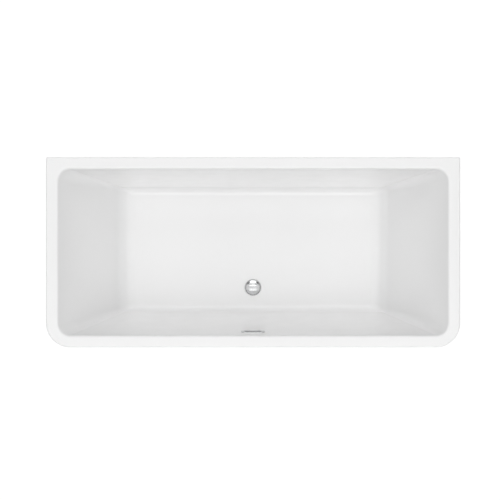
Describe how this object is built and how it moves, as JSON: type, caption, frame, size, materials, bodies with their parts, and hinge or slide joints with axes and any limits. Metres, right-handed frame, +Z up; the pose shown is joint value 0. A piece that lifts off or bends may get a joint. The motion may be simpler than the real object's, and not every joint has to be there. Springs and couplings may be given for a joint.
{
  "type": "freestanding bathtub",
  "caption": "Back-to-wall freestanding bathtub: white acrylic basin and skirt on a steel underframe with screw feet, push-open waste and slot overflow.",
  "frame": {"origin": "on the floor under the middle of the tub's rectangular outline", "axes": "+X along the length, +Y towards the wall behind the tub, +Z up"},
  "size_m": [1.7, 0.78, 0.58],
  "materials": {
    "white_acrylic": "high-gloss sanitary white acrylic",
    "plywood": "resin-sealed plywood",
    "timber": "planed softwood under resin",
    "galvanised_steel": "galvanised, light spangle",
    "black_plastic": "moulded, matte",
    "foot_rubber": "moulded, fine texture",
    "zinc_hardware": "zinc plated",
    "chrome": "polished",
    "seal_rubber": "moulded",
    "white_plastic": "moulded pipe plastic",
    "brass": "turned",
    "stainless_steel": "satin",
    "grey_hose": "corrugated, flexible"
  },
  "bodies": {
    "tub": {"basin": "white_acrylic", "skirt": "white_acrylic", "base_board": "plywood", "rail_front": "galvanised_steel", "rail_back": "galvanised_steel", "crossbar_far_left": "galvanised_steel", "crossbar_left": "galvanised_steel", "crossbar_right": "galvanised_steel", "crossbar_far_right": "galvanised_steel", "upright_left": "galvanised_steel", "upright_right": "galvanised_steel", "rim_batten_back": "timber", "rim_batten_front": "timber", "rim_batten_left": "timber", "rim_batten_right": "timber", "tube_end_caps": "black_plastic", "board_screws": "zinc_hardware", "upright_screws": "zinc_hardware", "foot_inserts": "zinc_hardware", "waste_flange": "chrome", "flange_gasket": "seal_rubber", "waste_washer": "seal_rubber", "waste_body": "white_plastic", "plunger_spring": "stainless_steel", "cartridge": "brass", "cartridge_screw": "stainless_steel", "tail_nut": "white_plastic", "tail_seal": "seal_rubber", "tailpiece": "chrome", "overflow_trim": "chrome", "overflow_gasket": "seal_rubber", "overflow_housing": "white_plastic", "overflow_screws": "stainless_steel", "overflow_hose": "grey_hose", "hose_clips": "stainless_steel"},
    "plug": {"waste_cap": "chrome", "cap_seal": "seal_rubber", "plunger": "brass"},
    "latch": {"latch_rotor": "white_plastic"},
    "pad_front_left": {"foot_pad_front_left": "foot_rubber"},
    "stem_front_left": {"foot_stem_front_left": "zinc_hardware", "foot_locknut_front_left": "zinc_hardware"},
    "pad_front_middle": {"foot_pad_front_middle": "foot_rubber"},
    "stem_front_middle": {"foot_stem_front_middle": "zinc_hardware", "foot_locknut_front_middle": "zinc_hardware"},
    "pad_front_right": {"foot_pad_front_right": "foot_rubber"},
    "stem_front_right": {"foot_stem_front_right": "zinc_hardware", "foot_locknut_front_right": "zinc_hardware"},
    "pad_back_left": {"foot_pad_back_left": "foot_rubber"},
    "stem_back_left": {"foot_stem_back_left": "zinc_hardware", "foot_locknut_back_left": "zinc_hardware"},
    "pad_back_middle": {"foot_pad_back_middle": "foot_rubber"},
    "stem_back_middle": {"foot_stem_back_middle": "zinc_hardware", "foot_locknut_back_middle": "zinc_hardware"},
    "pad_back_right": {"foot_pad_back_right": "foot_rubber"},
    "stem_back_right": {"foot_stem_back_right": "zinc_hardware", "foot_locknut_back_right": "zinc_hardware"}
  },
  "joints": [
    {"name": "plug_lift", "type": "slide", "parent": "tub", "child": "plug", "axis": [0, 0, 1], "range_m": [0, 0.0085], "deforming": ["plunger_spring"]},
    {"name": "latch_turn", "type": "hinge", "parent": "plug", "child": "latch", "pos_m": [0, -0.151, 0.1305], "axis": [0, 0, 1], "range_deg": [0, 46]},
    {"name": "foot_front_left_screw", "type": "hinge", "parent": "pad_front_left", "child": "stem_front_left", "pos_m": [-0.6, -0.3, 0.0095], "axis": [0, 0, -1], "range_deg": [0, 4116]},
    {"name": "foot_front_left_slide", "type": "slide", "parent": "tub", "child": "pad_front_left", "axis": [0, 0, -1], "range_m": [0, 0.02]},
    {"name": "foot_front_middle_screw", "type": "hinge", "parent": "pad_front_middle", "child": "stem_front_middle", "pos_m": [0, -0.3, 0.0095], "axis": [0, 0, -1], "range_deg": [0, 4116]},
    {"name": "foot_front_middle_slide", "type": "slide", "parent": "tub", "child": "pad_front_middle", "axis": [0, 0, -1], "range_m": [0, 0.02]},
    {"name": "foot_front_right_screw", "type": "hinge", "parent": "pad_front_right", "child": "stem_front_right", "pos_m": [0.6, -0.3, 0.0095], "axis": [0, 0, -1], "range_deg": [0, 4116]},
    {"name": "foot_front_right_slide", "type": "slide", "parent": "tub", "child": "pad_front_right", "axis": [0, 0, -1], "range_m": [0, 0.02]},
    {"name": "foot_back_left_screw", "type": "hinge", "parent": "pad_back_left", "child": "stem_back_left", "pos_m": [-0.6, 0.362, 0.0095], "axis": [0, 0, -1], "range_deg": [0, 4116]},
    {"name": "foot_back_left_slide", "type": "slide", "parent": "tub", "child": "pad_back_left", "axis": [0, 0, -1], "range_m": [0, 0.02]},
    {"name": "foot_back_middle_screw", "type": "hinge", "parent": "pad_back_middle", "child": "stem_back_middle", "pos_m": [0, 0.362, 0.0095], "axis": [0, 0, -1], "range_deg": [0, 4116]},
    {"name": "foot_back_middle_slide", "type": "slide", "parent": "tub", "child": "pad_back_middle", "axis": [0, 0, -1], "range_m": [0, 0.02]},
    {"name": "foot_back_right_screw", "type": "hinge", "parent": "pad_back_right", "child": "stem_back_right", "pos_m": [0.6, 0.362, 0.0095], "axis": [0, 0, -1], "range_deg": [0, 4116]},
    {"name": "foot_back_right_slide", "type": "slide", "parent": "tub", "child": "pad_back_right", "axis": [0, 0, -1], "range_m": [0, 0.02]}
  ],
  "couplings": [
    {"joint": "latch_turn", "follows": "plug_lift", "rad_per_m": 92.4},
    {"joint": "foot_front_left_screw", "follows": "foot_front_left_slide", "rad_per_m": 3590.4},
    {"joint": "foot_front_middle_screw", "follows": "foot_front_middle_slide", "rad_per_m": 3590.4},
    {"joint": "foot_front_right_screw", "follows": "foot_front_right_slide", "rad_per_m": 3590.4},
    {"joint": "foot_back_left_screw", "follows": "foot_back_left_slide", "rad_per_m": 3590.4},
    {"joint": "foot_back_middle_screw", "follows": "foot_back_middle_slide", "rad_per_m": 3590.4},
    {"joint": "foot_back_right_screw", "follows": "foot_back_right_slide", "rad_per_m": 3590.4}
  ]
}
